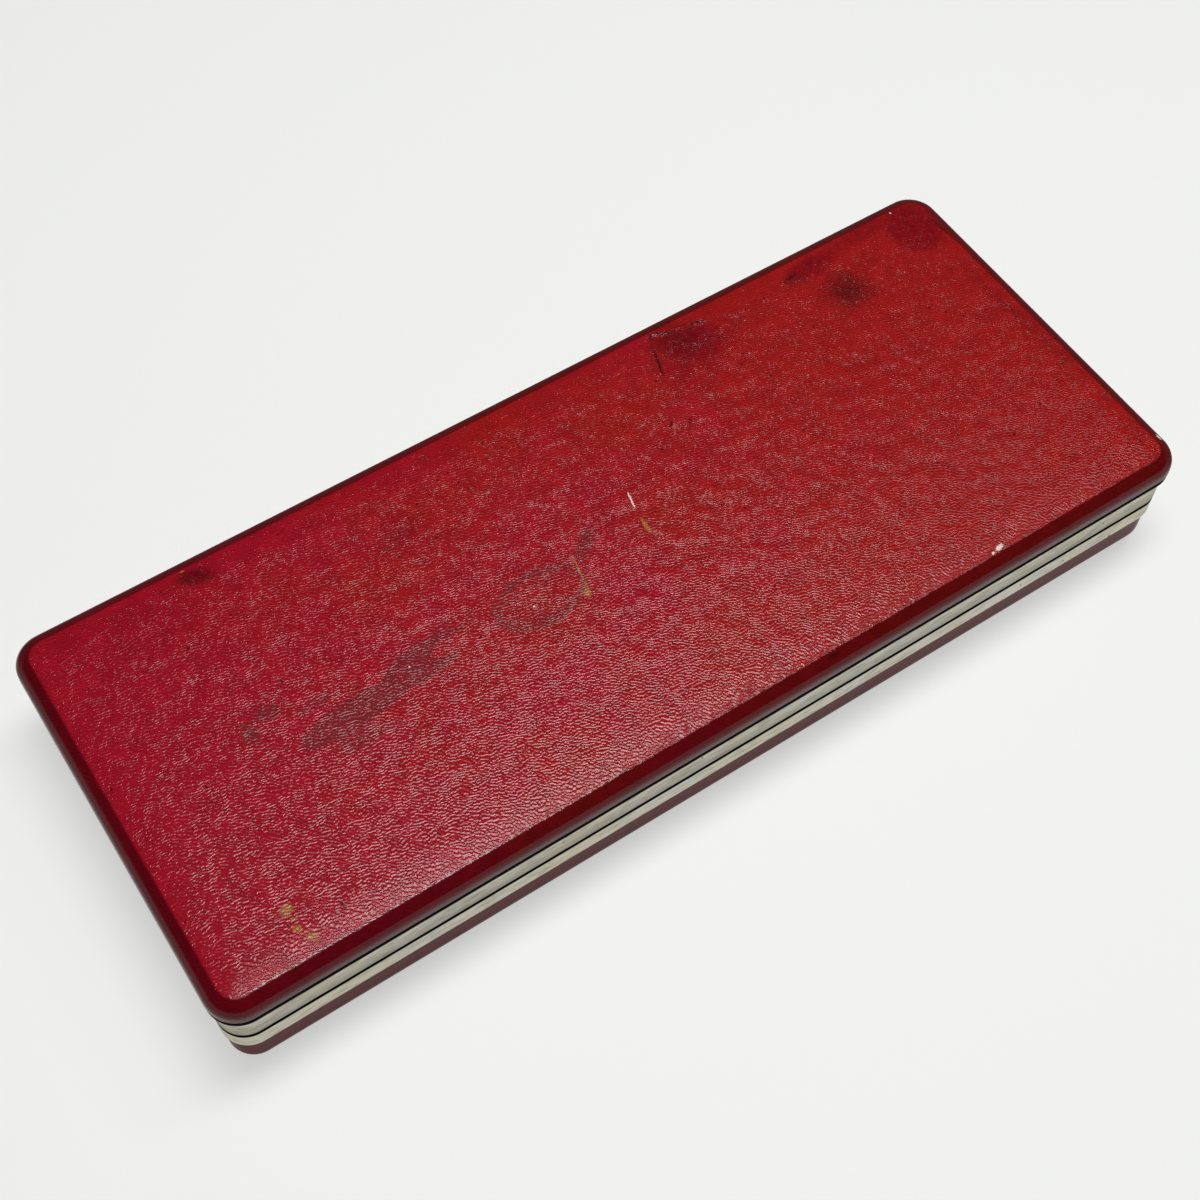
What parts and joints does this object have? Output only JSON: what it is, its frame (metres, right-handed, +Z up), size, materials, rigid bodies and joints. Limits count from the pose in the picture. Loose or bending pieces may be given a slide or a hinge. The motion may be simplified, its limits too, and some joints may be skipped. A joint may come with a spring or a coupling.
{
  "type": "caliper case",
  "caption": "Long flat snap-shut presentation case with a hinged lid, metal rims and a tray shaped for a dial caliper.",
  "frame": {"origin": "middle of the underside", "axes": "+X along the case to the right, the front long side faces -Y, the hinges are at +Y, +Z up through the lid"},
  "size_m": [0.25, 0.101, 0.0344],
  "materials": {
    "red_leatherette": "grained leatherette, semi-gloss",
    "black_lacquered_steel": "black lacquer on pressed steel",
    "ivory_enamel": "aged ivory stove enamel on pressed steel",
    "flocked_tray": "vacuum-formed plastic with a dark red flock",
    "grey_card": "grey board",
    "pad_foam": "soft foam",
    "satin_lining": "ivory satin",
    "hinge_steel": "pressed zinc-plated steel",
    "pin_steel": "drawn steel wire",
    "spring_steel": "blued spring steel strip",
    "rivet_steel": "plated steel rivets"
  },
  "bodies": {
    "base": {"base_shell": "black_lacquered_steel", "base_covering": "red_leatherette", "base_frame": "ivory_enamel", "fitted_tray": "flocked_tray", "base_hinge_leaf_left": "hinge_steel", "base_hinge_leaf_right": "hinge_steel", "hinge_pin_left": "pin_steel", "hinge_pin_right": "pin_steel", "snap_spring_left": "spring_steel", "snap_spring_right": "spring_steel", "base_hinge_rivets": "rivet_steel"},
    "lid": {"lid_shell": "black_lacquered_steel", "lid_covering": "red_leatherette", "lid_frame": "ivory_enamel", "lid_pad_board": "grey_card", "lid_foam_pad": "pad_foam", "lid_lining": "satin_lining", "lid_hinge_leaf_left": "hinge_steel", "lid_hinge_leaf_right": "hinge_steel", "lid_hinge_rivets": "rivet_steel"}
  },
  "joints": [
    {"name": "lid_hinge", "type": "hinge", "parent": "base", "child": "lid", "pos_m": [0, 0.0492, 0.0187], "axis": [-1, 0, 0], "range_deg": [0, 100], "deforming": ["snap_spring_left", "snap_spring_right"]}
  ]
}
